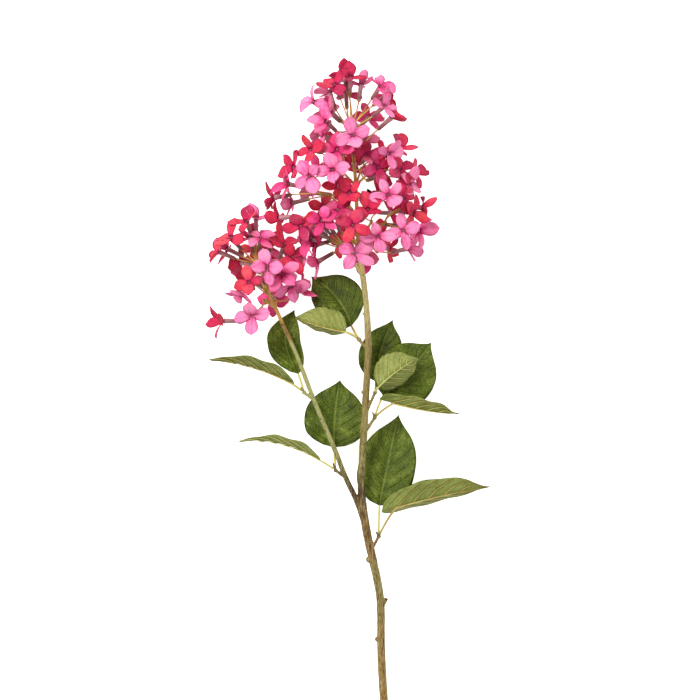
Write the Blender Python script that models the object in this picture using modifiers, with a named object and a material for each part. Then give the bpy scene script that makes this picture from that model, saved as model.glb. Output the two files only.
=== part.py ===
"""A lilac stem as cut, lying on a table: a forked woody stem, twelve leaves and two flower heads.

The stem lies along Y with its cut end at -Y and its flower heads at +Y. It is seen from above, +Z.
Its origin is the middle of the ground that it covers, on the table. Places are read in "view"
millimetres, across and down from the top left corner of the front view, with a height above the
table. One unit of the view is one millimetre of the real stem.
"""

import math
import random

import bmesh
import bpy
from mathutils import Matrix, Quaternion, Vector

MM = 0.001
VIEW_CENTRE = (350.0, 413.9)
TUBE_SIDES_RESOLUTION = 2
# Clear distance between a leaf's stalk and the knot that holds it, and between a head's rachis
# and the end of its branch.
GAP = 0.3 * MM
SEAT_GAP = 0.4

# Main stem: across, down, height and radius, from the cut end to the foot of the main flower head.
MAIN_STEM = [
    (388.0, 768.0, 4.3, 4.3),
    (384.5, 710.0, 10.5, 4.2),
    (381.5, 655.0, 17.0, 4.1),
    (381.0, 612.0, 22.0, 4.1),
    (379.0, 590.0, 25.0, 4.0),
    (372.5, 559.0, 29.0, 4.3),
    (366.5, 531.0, 32.0, 4.4),
    (361.8, 497.0, 36.0, 4.0),
    (361.8, 470.0, 39.0, 3.6),
    (364.5, 420.0, 45.0, 3.7),
    (367.2, 372.0, 50.5, 3.5),
    (368.4, 345.0, 53.5, 3.4),
    (366.2, 305.0, 58.0, 2.9),
    (362.8, 276.0, 61.0, 3.1),
]
# Side branch, from inside the main stem to the foot of the side flower head.
SIDE_BRANCH = [
    (364.0, 524.0, 33.5, 2.6),
    (356.5, 501.0, 36.0, 2.9),
    (345.5, 477.5, 38.0, 2.6),
    (334.0, 448.0, 40.5, 2.4),
    (315.0, 403.0, 44.0, 2.2),
    (296.5, 355.0, 46.5, 2.1),
    (283.0, 325.0, 48.0, 2.0),
]
# Leaf twigs: foot on the branch, then the knot that carries a pair of leaves, then the bud's tip.
LEAF_TWIGS = {
    "A": ((367.5, 350.0, 53.0), (359.0, 339.5, 56.0), None),
    "B": ((314.0, 400.5, 44.0), (304.0, 392.5, 45.0), (300.6, 386.4, 52.0)),
    "C": ((346.0, 478.5, 38.0), (335.5, 470.5, 38.5), (332.5, 462.0, 44.5)),
    "D": ((367.0, 411.0, 46.0), (375.0, 392.5, 50.0), None),
    "E": ((366.0, 431.0, 44.0), (374.8, 417.5, 50.0), (372.3, 411.5, 53.5)),
    "F": ((372.0, 550.0, 30.0), (378.8, 537.0, 33.5), (376.0, 531.6, 40.5)),
}
TWIG_RADIUS, KNOT_RADIUS, BUD_RADIUS = 1.5, 2.3, 1.2
# Side shoots that were cut short, and old leaf scars: place on the stem, outward end, radius.
CUT_SHOOTS = [((382.0, 609.0, 22.5), (386.8, 599.5, 25.0), 2.1)]
LEAF_SCARS = [
    (377.6, 641.0, 19.5, 2.7),
    (369.0, 560.5, 29.5, 3.4),
    (363.9, 314.0, 57.5, 1.5),
    (370.6, 344.5, 54.0, 1.9),
    (362.6, 392.0, 48.5, 1.8),
    (360.6, 432.0, 43.5, 1.6),
]

# Leaves: twig, where the blade starts, how far the rib bows (across, down, up), tip, full width,
# roll of the blade about its rib (0 shows the upper face, 180 the underside), fold, in degrees,
# and the share of the rib where the leaf's stalk joins it.
LEAVES = {
    "leaf_01": ("A", (351.5, 326.0, 45.0), (10.0, -8.0, 2.0), (311.0, 276.5, 30.0), 50.0, 8.0, 7.0, 0.0),
    "leaf_02": ("A", (346.0, 332.0, 62.0), (2.0, 4.0, 4.0), (294.5, 317.5, 62.0), 40.0, 142.0, 36.0, 0.0),
    "leaf_03": ("B", (298.0, 374.0, 30.0), (-22.0, -6.0, 2.0), (294.5, 309.5, 20.0), 38.0, -14.0, 24.0, 0.0),
    "leaf_04": ("B", (294.5, 385.0, 43.5), (3.0, -9.0, 3.0), (208.5, 360.0, 45.0), 34.0, 106.0, 22.0, 0.06),
    "leaf_05": ("C", (334.0, 448.0, 26.0), (-4.0, 2.0, 3.0), (340.0, 380.0, 20.0), 61.0, -4.0, 5.0, 0.0),
    "leaf_06": ("C", (321.0, 461.0, 40.0), (2.0, -14.0, 2.0), (238.0, 442.0, 41.0), 32.0, 98.0, 24.0, 0.0),
    "leaf_07": ("D", (376.0, 382.0, 31.0), (-8.0, 2.0, 2.0), (393.0, 319.5, 24.0), 44.0, 10.0, 10.0, 0.0),
    "leaf_08": ("E", (383.0, 396.0, 43.0), (2.0, 5.0, 1.0), (431.5, 342.5, 37.0), 62.0, 8.0, 6.0, 0.0),
    "leaf_09": ("D", (378.5, 387.0, 61.0), (-2.0, -4.0, 5.0), (418.5, 358.0, 66.0), 40.0, 202.0, 24.0, 0.0),
    "leaf_10": ("E", (379.0, 399.0, 63.0), (3.0, 6.0, 4.0), (459.0, 414.0, 62.0), 30.0, 248.0, 26.0, 0.17),
    "leaf_11": ("F", (379.5, 506.5, 25.0), (-1.0, 2.0, 2.0), (399.0, 415.0, 15.0), 58.0, -8.0, 6.0, 0.0),
    "leaf_12": ("F", (381.5, 512.5, 44.0), (0.0, -5.0, 5.0), (491.5, 487.0, 42.0), 38.0, 222.0, 30.0, 0.13),
}
LEAF_THICKNESS = 0.8 * MM
# Half width along the blade, as shares of the blade's length and of half its full width.
LEAF_OUTLINE = [
    (0.0, 0.0), (0.05, 0.55), (0.2, 0.93), (0.4, 1.0), (0.6, 0.84), (0.77, 0.5), (0.9, 0.2),
    (1.0, 0.0),
]
WAVE_HEIGHT, WAVES = 0.9 * MM, 3.0
PETIOLE_RADIUS, RIB_RADIUS = 1.1, 0.85

# Flower heads: the branch that carries the rachis, the rachis up to its top (across, down,
# height, radius), and whorls of stalk hubs round it: down, reach from the rachis, how many, turn
# of the first one in degrees.
# The profile is (down, radius) of the head's outside, from its foot up. Florets placed by rule
# stay clear of the places where a leaf's tip or the other head comes near.
HEADS = {
    "main_flower_head": {
        "branch": MAIN_STEM,
        "rachis": [
            (360.0, 258.0, 62.5, 2.7), (357.5, 230.0, 64.0, 2.1), (356.0, 190.0, 65.0, 1.8),
            (353.0, 150.0, 65.0, 1.6), (351.0, 124.0, 64.5, 1.3),
        ],
        "whorls": [
            (248.0, 15.0, 5, 90.0), (222.0, 28.0, 6, 60.0), (196.0, 27.0, 5, 100.0),
            (168.0, 20.0, 5, 75.0), (146.0, 10.0, 4, 95.0), (128.0, 2.0, 1, 90.0),
        ],
        "profile": [
            (264.0, 24.0), (250.0, 52.0), (230.0, 68.0), (205.0, 68.0), (175.0, 60.0),
            (150.0, 52.0), (125.0, 44.0), (100.0, 40.0), (82.0, 26.0), (68.0, 6.0),
        ],
        "rule_tries": 70,
        "clear_of": [(312.0, 276.0, 34.0), (300.0, 252.0, 50.0)],
    },
    "side_flower_head": {
        "branch": SIDE_BRANCH,
        "rachis": [
            (277.0, 311.0, 48.5, 1.7), (270.0, 297.0, 49.0, 1.5), (264.0, 281.0, 49.0, 1.3),
            (257.0, 262.0, 48.5, 1.1),
        ],
        "whorls": [
            (318.0, 5.0, 3, 200.0), (300.0, 9.0, 4, 30.0), (284.0, 9.0, 4, 70.0),
            (262.0, 3.0, 1, 90.0),
        ],
        "profile": [
            (308.0, 32.0), (285.0, 49.0), (262.0, 52.0), (240.0, 36.0), (222.0, 14.0),
        ],
        "rule_tries": 22,
        "clear_of": [(314.0, 284.0, 32.0), (294.0, 312.0, 22.0), (312.0, 250.0, 60.0)],
    },
}
# Florets that the front view shows: across, down, height over the rachis, the two parts of the
# way they face (right and up), and the turn of the petals in degrees.
FRONT_FLORETS = {
    "main_flower_head": [
        (350.0, 76.0, 6.0, 0.0, 0.85, 0.0), (343.0, 70.0, -8.0, -0.25, 0.85, 30.0),
        (336.0, 84.0, 12.0, -0.3, 0.75, 20.0), (361.0, 86.0, -2.0, 0.12, 0.88, 5.0),
        (380.0, 88.0, 14.0, 0.45, 0.65, 35.0), (385.0, 97.0, -8.0, 0.65, 0.5, 10.0),
        (391.0, 119.0, 6.0, 0.72, 0.6, 30.0), (384.0, 108.0, 20.0, 0.62, 0.5, 60.0),
        (314.0, 103.0, 8.0, -0.75, 0.45, 10.0), (330.0, 94.0, -2.0, -0.3, 0.85, 50.0),
        (346.0, 94.0, -20.0, -0.05, 0.8, 20.0), (331.0, 113.0, 14.0, -0.55, 0.5, 5.0),
        (353.0, 138.0, 42.0, 0.05, 0.05, 60.0), (327.0, 124.0, 26.0, -0.5, 0.45, 30.0),
        (324.0, 137.0, 10.0, -0.7, 0.25, 70.0), (311.0, 151.0, 24.0, -0.55, 0.15, 25.0),
        (294.0, 168.0, 6.0, -0.85, 0.1, 45.0), (333.0, 172.0, 46.0, -0.05, 0.05, 45.0),
        (310.0, 178.0, 40.0, -0.2, 0.05, 50.0), (289.0, 185.0, 10.0, -0.8, 0.15, 35.0),
        (389.0, 155.0, 32.0, 0.6, -0.05, 5.0), (400.0, 149.0, 2.0, 0.55, 0.65, 25.0),
        (366.0, 157.0, 22.0, 0.2, 0.35, 20.0), (415.0, 173.0, 2.0, 0.85, 0.25, 15.0),
        (399.0, 170.0, 20.0, 0.45, 0.05, 30.0), (378.0, 169.0, 24.0, 0.3, -0.2, 60.0),
        (350.0, 194.0, 40.0, -0.05, 0.35, 28.0), (388.0, 197.0, 46.0, 0.2, 0.05, 10.0),
        (408.0, 185.0, 10.0, 0.65, 0.35, 50.0), (403.0, 199.0, 28.0, 0.55, 0.1, 5.0),
        (421.0, 208.0, -1.0, 0.92, 0.0, 35.0), (412.0, 214.0, 20.0, 0.7, -0.1, 70.0),
        (368.0, 211.0, 42.0, 0.2, 0.35, 65.0), (353.0, 227.0, 58.0, 0.0, 0.0, 65.0),
        (378.0, 238.0, 52.0, 0.1, -0.05, 40.0), (403.0, 232.0, 42.0, 0.2, 0.0, 10.0),
        (418.0, 231.0, 8.0, 0.85, -0.1, 20.0), (407.0, 249.0, 2.0, 0.85, 0.2, 55.0),
        (355.0, 255.0, 50.0, 0.05, -0.05, 0.0), (338.0, 211.0, 32.0, -0.35, 0.5, 15.0),
        (322.0, 222.0, 38.0, -0.2, 0.3, 40.0), (301.0, 227.0, 34.0, -0.3, 0.05, 30.0),
        (280.0, 219.0, -2.0, -0.88, -0.1, 5.0), (275.0, 198.0, -6.0, -0.9, -0.15, 60.0),
        (307.0, 240.0, 18.0, -0.55, -0.15, 10.0), (322.0, 247.0, 12.0, -0.45, -0.4, 35.0),
        (319.0, 261.0, -16.0, -0.8, -0.45, 20.0), (337.0, 151.0, 28.0, -0.35, 0.2, 25.0),
        (293.0, 203.0, -10.0, -0.9, -0.2, 0.0),
    ],
    "side_flower_head": [
        (256.0, 219.0, 2.0, 0.0, 0.9, 20.0), (247.0, 222.0, 12.0, -0.25, 0.8, 60.0),
        (231.0, 238.0, 12.0, -0.55, 0.6, 30.0), (228.0, 249.0, -10.0, -0.8, 0.4, 0.0),
        (219.0, 252.0, 4.0, -0.85, 0.35, 40.0), (262.0, 237.0, 16.0, 0.1, 0.8, 10.0),
        (250.0, 238.0, -8.0, -0.2, 0.9, 45.0), (241.0, 262.0, -12.0, -0.7, 0.2, 70.0),
        (268.0, 268.0, 42.0, 0.0, 0.05, 5.0), (282.0, 275.0, 30.0, 0.3, 0.0, 50.0),
        (250.0, 283.0, 34.0, -0.25, 0.1, 30.0), (241.0, 293.0, 8.0, -0.6, -0.55, 15.0),
        (252.0, 316.0, 30.0, -0.1, -0.05, 65.0), (224.0, 321.0, 4.0, -0.95, 0.0, 10.0),
        (295.0, 257.0, 6.0, 0.3, 0.1, 20.0), (290.0, 261.0, -10.0, 0.5, 0.3, 30.0),
        (291.0, 286.0, 14.0, 0.5, -0.35, 45.0), (302.0, 289.0, -2.0, 0.7, 0.55, 0.0),
        (284.0, 241.0, 8.0, 0.3, 0.7, 25.0), (270.0, 247.0, -10.0, 0.15, 0.8, 60.0),
    ],
}
FLORET_SPACING = 24.0
LOWEST_FLORET = 3.0
FLORET_SEED = 11
GOLDEN_ANGLE = math.radians(137.508)
# How far a floret faces down the rachis at the foot of its head, and how much less at its top.
BOTTOM_NOD, TOP_NOD = 0.35, 1.3
# The rule fills the back alone: florets that face further forward are skipped, and its width is less.
FRONT_LIMIT = -0.15
RULE_NARROWING = 0.75
PETAL_THICKNESS = 0.7 * MM
PETAL_LENGTH, PETAL_WIDTH = 19.0, 14.0
THROAT_RADIUS, THROAT_DEPTH, TUBE_LENGTH = 2.6, 1.6, 19.0
PEDICEL_RADIUS, TUBE_FOOT_RADIUS = 0.75, 1.25
SHORTEST_STALK = 21.0
BRANCHLET_RADIUS, HUB_RADIUS = 1.1, 2.6
BARK_COLOUR = (0.30, 0.22, 0.12)
LEAF_COLOUR = (0.13, 0.22, 0.05)
PETAL_COLOUR = (0.75, 0.10, 0.25)
# Each petal's free edge: share of its length, of half its width, and height over the throat.
PETAL_EDGE = [(0.68, -1.0, 1.8), (1.0, 0.0, 0.2), (0.68, 1.0, 1.8)]


def clear_scene():
    for thing in list(bpy.data.objects):
        bpy.data.objects.remove(thing)


def new_collection(name):
    group = bpy.data.collections.new(name)
    bpy.context.scene.collection.children.link(group)
    return group


def material(name, colour, roughness):
    made = bpy.data.materials.new(name)
    made.use_nodes = True
    shader = made.node_tree.nodes["Principled BSDF"]
    shader.inputs["Base Color"].default_value = (*colour, 1.0)
    shader.inputs["Roughness"].default_value = roughness
    shader.inputs["Metallic"].default_value = 0.0
    return made


def at(across, down, height):
    """A place of the front view as a point in metres."""
    return Vector((across - VIEW_CENTRE[0], VIEW_CENTRE[1] - down, height)) * MM


def smooth_path(stops, spacing):
    """Points and radii in metres on a Catmull-Rom curve through (across, down, height, radius)."""
    knots = [(at(*stop[:3]), stop[3] * MM) for stop in stops]
    knots = [knots[0], *knots, knots[-1]]
    points, radii = [], []
    for before, start, end, after in zip(knots, knots[1:], knots[2:], knots[3:]):
        count = max(1, round((end[0] - start[0]).length / (spacing * MM)))
        for step in range(count):
            share = step / count
            points.append(catmull_rom(before[0], start[0], end[0], after[0], share))
            radii.append(start[1] + (end[1] - start[1]) * share)
    points.append(knots[-1][0])
    radii.append(knots[-1][1])
    return points, radii


def catmull_rom(before, start, end, after, share):
    squared, cubed = share**2, share**3
    return 0.5 * (
        2 * start
        + (end - before) * share
        + (2 * before - 5 * start + 4 * end - after) * squared
        + (3 * start - before - 3 * end + after) * cubed
    )


def as_mesh(source, group):
    """The evaluated shape as a plain mesh object with its caps welded, in place of the source."""
    graph = bpy.context.evaluated_depsgraph_get()
    mesh = bpy.data.meshes.new_from_object(source.evaluated_get(graph))
    shape = bmesh.new()
    shape.from_mesh(mesh)
    bmesh.ops.remove_doubles(shape, verts=shape.verts, dist=1e-6)
    bmesh.ops.triangulate(shape, faces=shape.faces)
    bmesh.ops.recalc_face_normals(shape, faces=shape.faces)
    shape.to_mesh(mesh)
    shape.free()
    name, matrix = source.name, source.matrix_world.copy()
    bpy.data.objects.remove(source)
    made = bpy.data.objects.new(name, mesh)
    made.matrix_world = matrix
    group.objects.link(made)
    return made


def tube(name, points, radii, group, resolution=TUBE_SIDES_RESOLUTION):
    """A closed tube along the points, as thick at each as its radius."""
    curve = bpy.data.curves.new(name, "CURVE")
    curve.dimensions = "3D"
    curve.bevel_depth = 1.0
    curve.bevel_resolution = resolution
    curve.use_fill_caps = True
    spline = curve.splines.new("POLY")
    spline.points.add(len(points) - 1)
    for knot, place, radius in zip(spline.points, points, radii):
        knot.co = (*place, 1.0)
        knot.radius = radius
    source = bpy.data.objects.new(name, curve)
    group.objects.link(source)
    bpy.context.view_layer.update()
    return as_mesh(source, group)


def ball(name, place, radius, group, subdivisions=1):
    mesh = bpy.data.meshes.new(name)
    shape = bmesh.new()
    bmesh.ops.create_icosphere(shape, subdivisions=subdivisions, radius=radius)
    shape.to_mesh(mesh)
    shape.free()
    made = bpy.data.objects.new(name, mesh)
    made.location = place
    group.objects.link(made)
    return made


def fuse(name, first, repeats, finish, home, solver="EXACT"):
    """One solid from the first object and all in the repeats' collection, which is emptied."""
    bpy.context.view_layer.update()
    join = first.modifiers.new("join", "BOOLEAN")
    join.operation = "UNION"
    join.operand_type = "COLLECTION"
    join.collection = repeats
    join.solver = solver
    graph = bpy.context.evaluated_depsgraph_get()
    mesh = bpy.data.meshes.new_from_object(first.evaluated_get(graph))
    mesh.transform(first.matrix_world)
    fill_sealed_pockets(mesh)
    mesh.materials.clear()
    mesh.materials.append(finish)
    for thing in [first, *repeats.objects]:
        bpy.data.objects.remove(thing)
    bpy.data.collections.remove(repeats)
    mesh.shade_smooth()
    mesh.set_sharp_from_angle(angle=math.radians(35))
    made = bpy.data.objects.new(name, mesh)
    home.objects.link(made)
    return made


def fill_sealed_pockets(mesh):
    """Keeps the largest shell: the skin of a pocket that crossing petals seal off is removed."""
    shape = bmesh.new()
    shape.from_mesh(mesh)
    shells, seen = [], set()
    for first in shape.verts:
        if first in seen:
            continue
        seen.add(first)
        shell = [first]
        for vert in shell:
            near = [edge.other_vert(vert) for edge in vert.link_edges]
            near = [other for other in dict.fromkeys(near) if other not in seen]
            seen.update(near)
            shell.extend(near)
        shells.append(shell)
    shells.sort(key=len)
    small = [vert for shell in shells[:-1] for vert in shell]
    bmesh.ops.delete(shape, geom=small, context="VERTS")
    shape.to_mesh(mesh)
    shape.free()


def make_stem(home, scratch, finish):
    """Main stem, side branch, leaf twigs with their buds, cut shoots and leaf scars, all one wood."""
    repeats = new_collection("stem_repeats")
    trunk = tube("trunk", *smooth_path(MAIN_STEM, 30.0), scratch)
    tube("branch", *smooth_path(SIDE_BRANCH, 30.0), repeats, 1)
    for letter, (foot, knot, bud) in LEAF_TWIGS.items():
        radii = [TWIG_RADIUS * MM] * 2
        tube("twig_" + letter, [at(*foot), at(*knot)], radii, repeats, 1)
        ball("knot_" + letter, at(*knot), KNOT_RADIUS * MM, repeats)
        if bud is None:
            continue
        middle = at(*knot).lerp(at(*bud), 0.55)
        radii = [0.8 * MM, BUD_RADIUS * MM, 0.35 * MM]
        tube("bud_" + letter, [at(*knot), middle, at(*bud)], radii, repeats, 1)
    for number, (foot, end, radius) in enumerate(CUT_SHOOTS):
        tube(f"cut_shoot_{number}", [at(*foot), at(*end)], [radius * MM] * 2, repeats)
    for number, (across, down, height, radius) in enumerate(LEAF_SCARS):
        ball(f"leaf_scar_{number}", at(across, down, height), radius * MM, repeats)
    return fuse("stem", trunk, repeats, finish, home)


def rib_point(start, bow, tip, share):
    """A point of a leaf's rib, a curve from its start to its tip through a bowed middle."""
    control = (start + tip) / 2 + bow
    return start * (1 - share) ** 2 + control * 2 * share * (1 - share) + tip * share**2


def blade_sheet(name, start, bow, tip, width, roll, fold, group):
    """An open ovate sheet, folded along its rib, with a waved edge, cut into triangles."""
    shape = bmesh.new()
    rows = []
    along = (tip - start).normalized()
    face = Vector((0, 0, 1)) - along * along.z
    face = Quaternion(along, math.radians(roll)) @ face.normalized()
    side = along.cross(face)
    lift = math.radians(fold)
    for share, half in LEAF_OUTLINE:
        middle = rib_point(start, bow, tip, share)
        if half == 0:
            rows.append([shape.verts.new(middle)])
            continue
        reach = half * width * MM / 2
        wave = WAVE_HEIGHT * math.sin(WAVES * math.tau * share) * half
        row = []
        for sign in (-1, 1):
            out = side * sign * math.cos(lift) + face * math.sin(lift)
            row.append(middle + out * reach + face * wave * sign)
        rows.append([shape.verts.new(place) for place in (row[0], middle, row[1])])
    for lower, upper in zip(rows, rows[1:]):
        if len(lower) == 1:
            lower = lower * len(upper)
        if len(upper) == 1:
            upper = upper * len(lower)
        for a, b, c, d in zip(lower, lower[1:], upper[1:], upper):
            shape.faces.new(list(dict.fromkeys((a, b, c, d))))
    bmesh.ops.triangulate(shape, faces=shape.faces)
    mesh = bpy.data.meshes.new(name)
    shape.to_mesh(mesh)
    shape.free()
    sheet = bpy.data.objects.new(name, mesh)
    group.objects.link(sheet)
    thicken(sheet, LEAF_THICKNESS)
    return sheet


def thicken(sheet, thickness):
    shell = sheet.modifiers.new("thickness", "SOLIDIFY")
    shell.thickness = thickness
    shell.offset = 0.0
    shell.use_even_offset = True
    shell.thickness_clamp = 2.0


def make_leaf(name, home, scratch, finish):
    """A blade with its stalk, which runs on along the blade as the raised rib."""
    twig, start, bow, tip, width, roll, fold, join = LEAVES[name]
    knot = at(*LEAF_TWIGS[twig][1])
    start, tip, bow = at(*start), at(*tip), Vector((bow[0], -bow[1], bow[2])) * MM
    sheet = blade_sheet(name, start, bow, tip, width, roll, fold, scratch)
    bpy.context.view_layer.update()
    blade = as_mesh(sheet, scratch)
    ribs = [rib_point(start, bow, tip, join + share * (0.66 - join)) for share in (0.0, 0.4, 1.0)]
    back = (ribs[0] - ribs[1]).normalized()
    foot = knot + (ribs[0] + back * 5 * MM - knot).normalized() * (KNOT_RADIUS * MM + GAP)
    radii = [PETIOLE_RADIUS, PETIOLE_RADIUS, PETIOLE_RADIUS, RIB_RADIUS, 0.5]
    middle = foot.lerp(ribs[0], 0.55) + back * 1.2 * MM
    repeats = new_collection(name + "_repeats")
    tube(name + "_stalk", [foot, middle, *ribs], [r * MM for r in radii], repeats, 0)
    return fuse(name, blade, repeats, finish, home)


def rachis_of(head):
    """The rachis's stops, from a hair beyond the end of the branch that carries it."""
    before, end = (Vector(stop[:3]) for stop in head["branch"][-2:])
    foot = end + (end - before).normalized() * SEAT_GAP
    return [(*foot, head["branch"][-1][3]), *head["rachis"]]


def rachis_point(rachis, down):
    """The point of a flower head's rachis that lies at this height of the view."""
    for (x0, y0, z0, _), (x1, y1, z1, _) in zip(rachis, rachis[1:]):
        if y1 <= down <= y0:
            share = (y0 - down) / (y0 - y1)
            return at(x0 + (x1 - x0) * share, down, z0 + (z1 - z0) * share)
    end = rachis[0] if down > rachis[0][1] else rachis[-1]
    return at(end[0], down, end[2])


def profile_radius(profile, down):
    for (y0, r0), (y1, r1) in zip(profile, profile[1:]):
        if y1 <= down <= y0:
            return r0 + (r1 - r0) * (y0 - down) / (y0 - y1)
    return 0.0


def hubs_of(head):
    """The places round the rachis where stalks part: (foot on the rachis, hub) pairs."""
    rachis = rachis_of(head)
    pairs = []
    for down, reach, count, turn in head["whorls"]:
        foot = rachis_point(rachis, down + reach * 0.9)
        for number in range(count):
            angle = math.radians(turn + number * 360.0 / count)
            out = Vector((math.cos(angle), 0, math.sin(angle))) * reach * MM
            pairs.append((foot, rachis_point(rachis, down) + out))
    return pairs


def florets_of(name):
    """(place, facing, petal turn, size) of each floret: those seen in front, then the rest."""
    head = HEADS[name]
    rachis = rachis_of(head)
    draw = random.Random(FLORET_SEED)
    found = []
    for across, down, lift, right, up, turn in FRONT_FLORETS[name]:
        ahead = math.copysign(math.sqrt(max(0.0, 1 - right**2 - up**2)), lift)
        place = at(across, down, rachis_point(rachis, down).z / MM + lift)
        found.append((place, Vector((right, up, ahead)).normalized(), turn, draw.uniform(0.94, 1.08)))
    bottom, top = head["profile"][0][0], head["profile"][-1][0]
    for number in range(head["rule_tries"]):
        share = (number + 0.5) / head["rule_tries"]
        down = bottom + (top - bottom) * share
        angle = number * GOLDEN_ANGLE
        reach = profile_radius(head["profile"], down) * draw.uniform(0.86, 1.04)
        out = Vector((math.cos(angle), 0, math.sin(angle)))
        place = rachis_point(rachis, down) + Vector((out.x * RULE_NARROWING, 0, out.z)) * reach * MM
        place.z = max(place.z, LOWEST_FLORET * MM)
        turn, size = draw.uniform(0, 90), draw.uniform(0.92, 1.05)
        if out.z > FRONT_LIMIT:
            continue
        taken = [other[0] for other in found] + [at(*spot) for spot in head["clear_of"]]
        if min((place - other).length for other in taken) < FLORET_SPACING * MM:
            continue
        facing = (out + Vector((0, TOP_NOD * share - BOTTOM_NOD, 0))).normalized()
        found.append((place, facing, turn, size))
    return found


def floret(name, place, facing, turn, size, hub, group):
    """Four petals round a sunk throat, on a tube that narrows to a stalk reaching into its hub.

    The whole floret is one closed shape. A petal that would reach through the table is bent
    forward instead, and lies on it.
    """
    shape = bmesh.new()
    basis = facing.to_track_quat("Z", "Y").to_matrix() @ Matrix.Rotation(math.radians(turn), 3, "Z")
    half_thick = facing * PETAL_THICKNESS / 2
    corners = []
    for number in range(4):
        angle = math.radians(45 + number * 90)
        corner = basis @ Vector((math.cos(angle), math.sin(angle), 0)) * THROAT_RADIUS * MM
        corners.append(
            (shape.verts.new(place + corner + half_thick), shape.verts.new(place + corner - half_thick))
        )
    throat = shape.verts.new(place - facing * THROAT_DEPTH * MM)
    for number in range(4):
        angle = math.radians(90 + number * 90)
        out = basis @ Vector((math.cos(angle), math.sin(angle), 0))
        side = basis @ Vector((-math.sin(angle), math.cos(angle), 0))
        edge = []
        for reach, half, rise in PETAL_EDGE:
            spot = out * PETAL_LENGTH * reach + side * PETAL_WIDTH / 2 * half + facing * rise
            edge.append(bent_clear(place + spot * size * MM, facing, out))
        root = place + out * THROAT_RADIUS * 0.7 * MM
        normal = (edge[2] - edge[0]).cross(root - edge[1]).normalized() * PETAL_THICKNESS / 2
        edge = [(shape.verts.new(spot + normal), shape.verts.new(spot - normal)) for spot in edge]
        ring = [corners[number], *edge, corners[(number + 1) % 4]]
        shape.faces.new([upper for upper, _ in ring])
        shape.faces.new([lower for _, lower in reversed(ring)])
        for (a, b), (c, d) in zip(ring, ring[1:]):
            shape.faces.new((a, b, d, c))
        shape.faces.new((corners[number][0], corners[(number + 1) % 4][0], throat))
    foot = place - facing * TUBE_LENGTH * MM
    foot.z = max(foot.z, 3.5 * MM)
    rings = [[lower for _, lower in corners]]
    along = (foot - hub).normalized()
    for centre, radius in ((foot, TUBE_FOOT_RADIUS), (hub + along * 0.9 * MM, PEDICEL_RADIUS)):
        ring = []
        for _, lower in corners:
            spoke = lower.co - place
            spoke = (spoke - along * spoke.dot(along)).normalized() * radius * MM
            ring.append(shape.verts.new(centre + spoke))
        rings.append(ring)
    for wide, narrow in zip(rings, rings[1:]):
        for number in range(4):
            after = (number + 1) % 4
            shape.faces.new((wide[number], wide[after], narrow[after], narrow[number]))
    shape.faces.new(rings[-1])
    bmesh.ops.triangulate(shape, faces=shape.faces)
    bmesh.ops.recalc_face_normals(shape, faces=shape.faces)
    mesh = bpy.data.meshes.new(name)
    shape.to_mesh(mesh)
    shape.free()
    made = bpy.data.objects.new(name, mesh)
    group.objects.link(made)
    return made


def bent_clear(spot, facing, out):
    """The spot itself, or, where it is under the table, brought up and as far forward."""
    low = PETAL_THICKNESS / 2
    if spot.z >= low:
        return spot
    forward = Vector((facing.x + 0.3 * out.x, facing.y + 0.3 * out.y, 0))
    if forward.length > 0.001:
        forward.normalize()
    spot = spot + forward * (low - spot.z) * 0.8
    spot.z = low
    return spot


def nearest_hub(hubs, tube_foot, place):
    """The hub that this floret's stalk comes from: the closest one a little way behind it."""
    behind = [hub for _, hub in hubs if (place - hub).length > SHORTEST_STALK * MM]
    return min(behind, key=lambda hub: (hub - tube_foot).length)


def make_head(name, home, scratch, finish):
    """Rachis, branchlets, and florets on their stalks, all grown together."""
    head = HEADS[name]
    hubs = hubs_of(head)
    repeats = new_collection(name + "_repeats")
    rachis = tube(name + "_rachis", *smooth_path(rachis_of(head), 30.0), scratch, 1)
    used = set()
    for number, (place, facing, turn, size) in enumerate(florets_of(name)):
        hub = nearest_hub(hubs, place - facing * TUBE_LENGTH * MM, place)
        floret(f"floret_{number}", place, facing, turn, size, hub, repeats)
        used.add(tuple(hub))
    for number, (foot, hub) in enumerate(hubs):
        if tuple(hub) in used:
            radii = [BRANCHLET_RADIUS * 1.2 * MM, BRANCHLET_RADIUS * MM]
            tube(f"branchlet_{number}", [foot, hub], radii, repeats, 0)
            ball(f"hub_{number}", hub, HUB_RADIUS * MM, repeats)
    return fuse(name, rachis, repeats, finish, home, "MANIFOLD")


def main():
    clear_scene()
    home = new_collection("lilac_stem")
    scratch = new_collection("scratch")
    make_stem(home, scratch, material("stem_bark", BARK_COLOUR, 0.75))
    for name in LEAVES:
        make_leaf(name, home, scratch, material(name + "_cloth", LEAF_COLOUR, 0.6))
    for name in HEADS:
        make_head(name, home, scratch, material(name + "_petals", PETAL_COLOUR, 0.7))
    bpy.data.collections.remove(scratch)


main()
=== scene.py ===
# %% [markdown]
# # A lilac stem for a still life
# The stem in the photograph is a spray made by hand for display: cloth petals and leaves on
# moulded stalks, fixed to a moulded woody stem. It lies on its back and is looked at from above.
# This lesson loads the plain solid model of the stem, and then gives each part the surface that
# the real one has. The solid model stays the measure of everything: each finer piece is grown
# from the same few numbers as the solid that it stands for.

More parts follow.
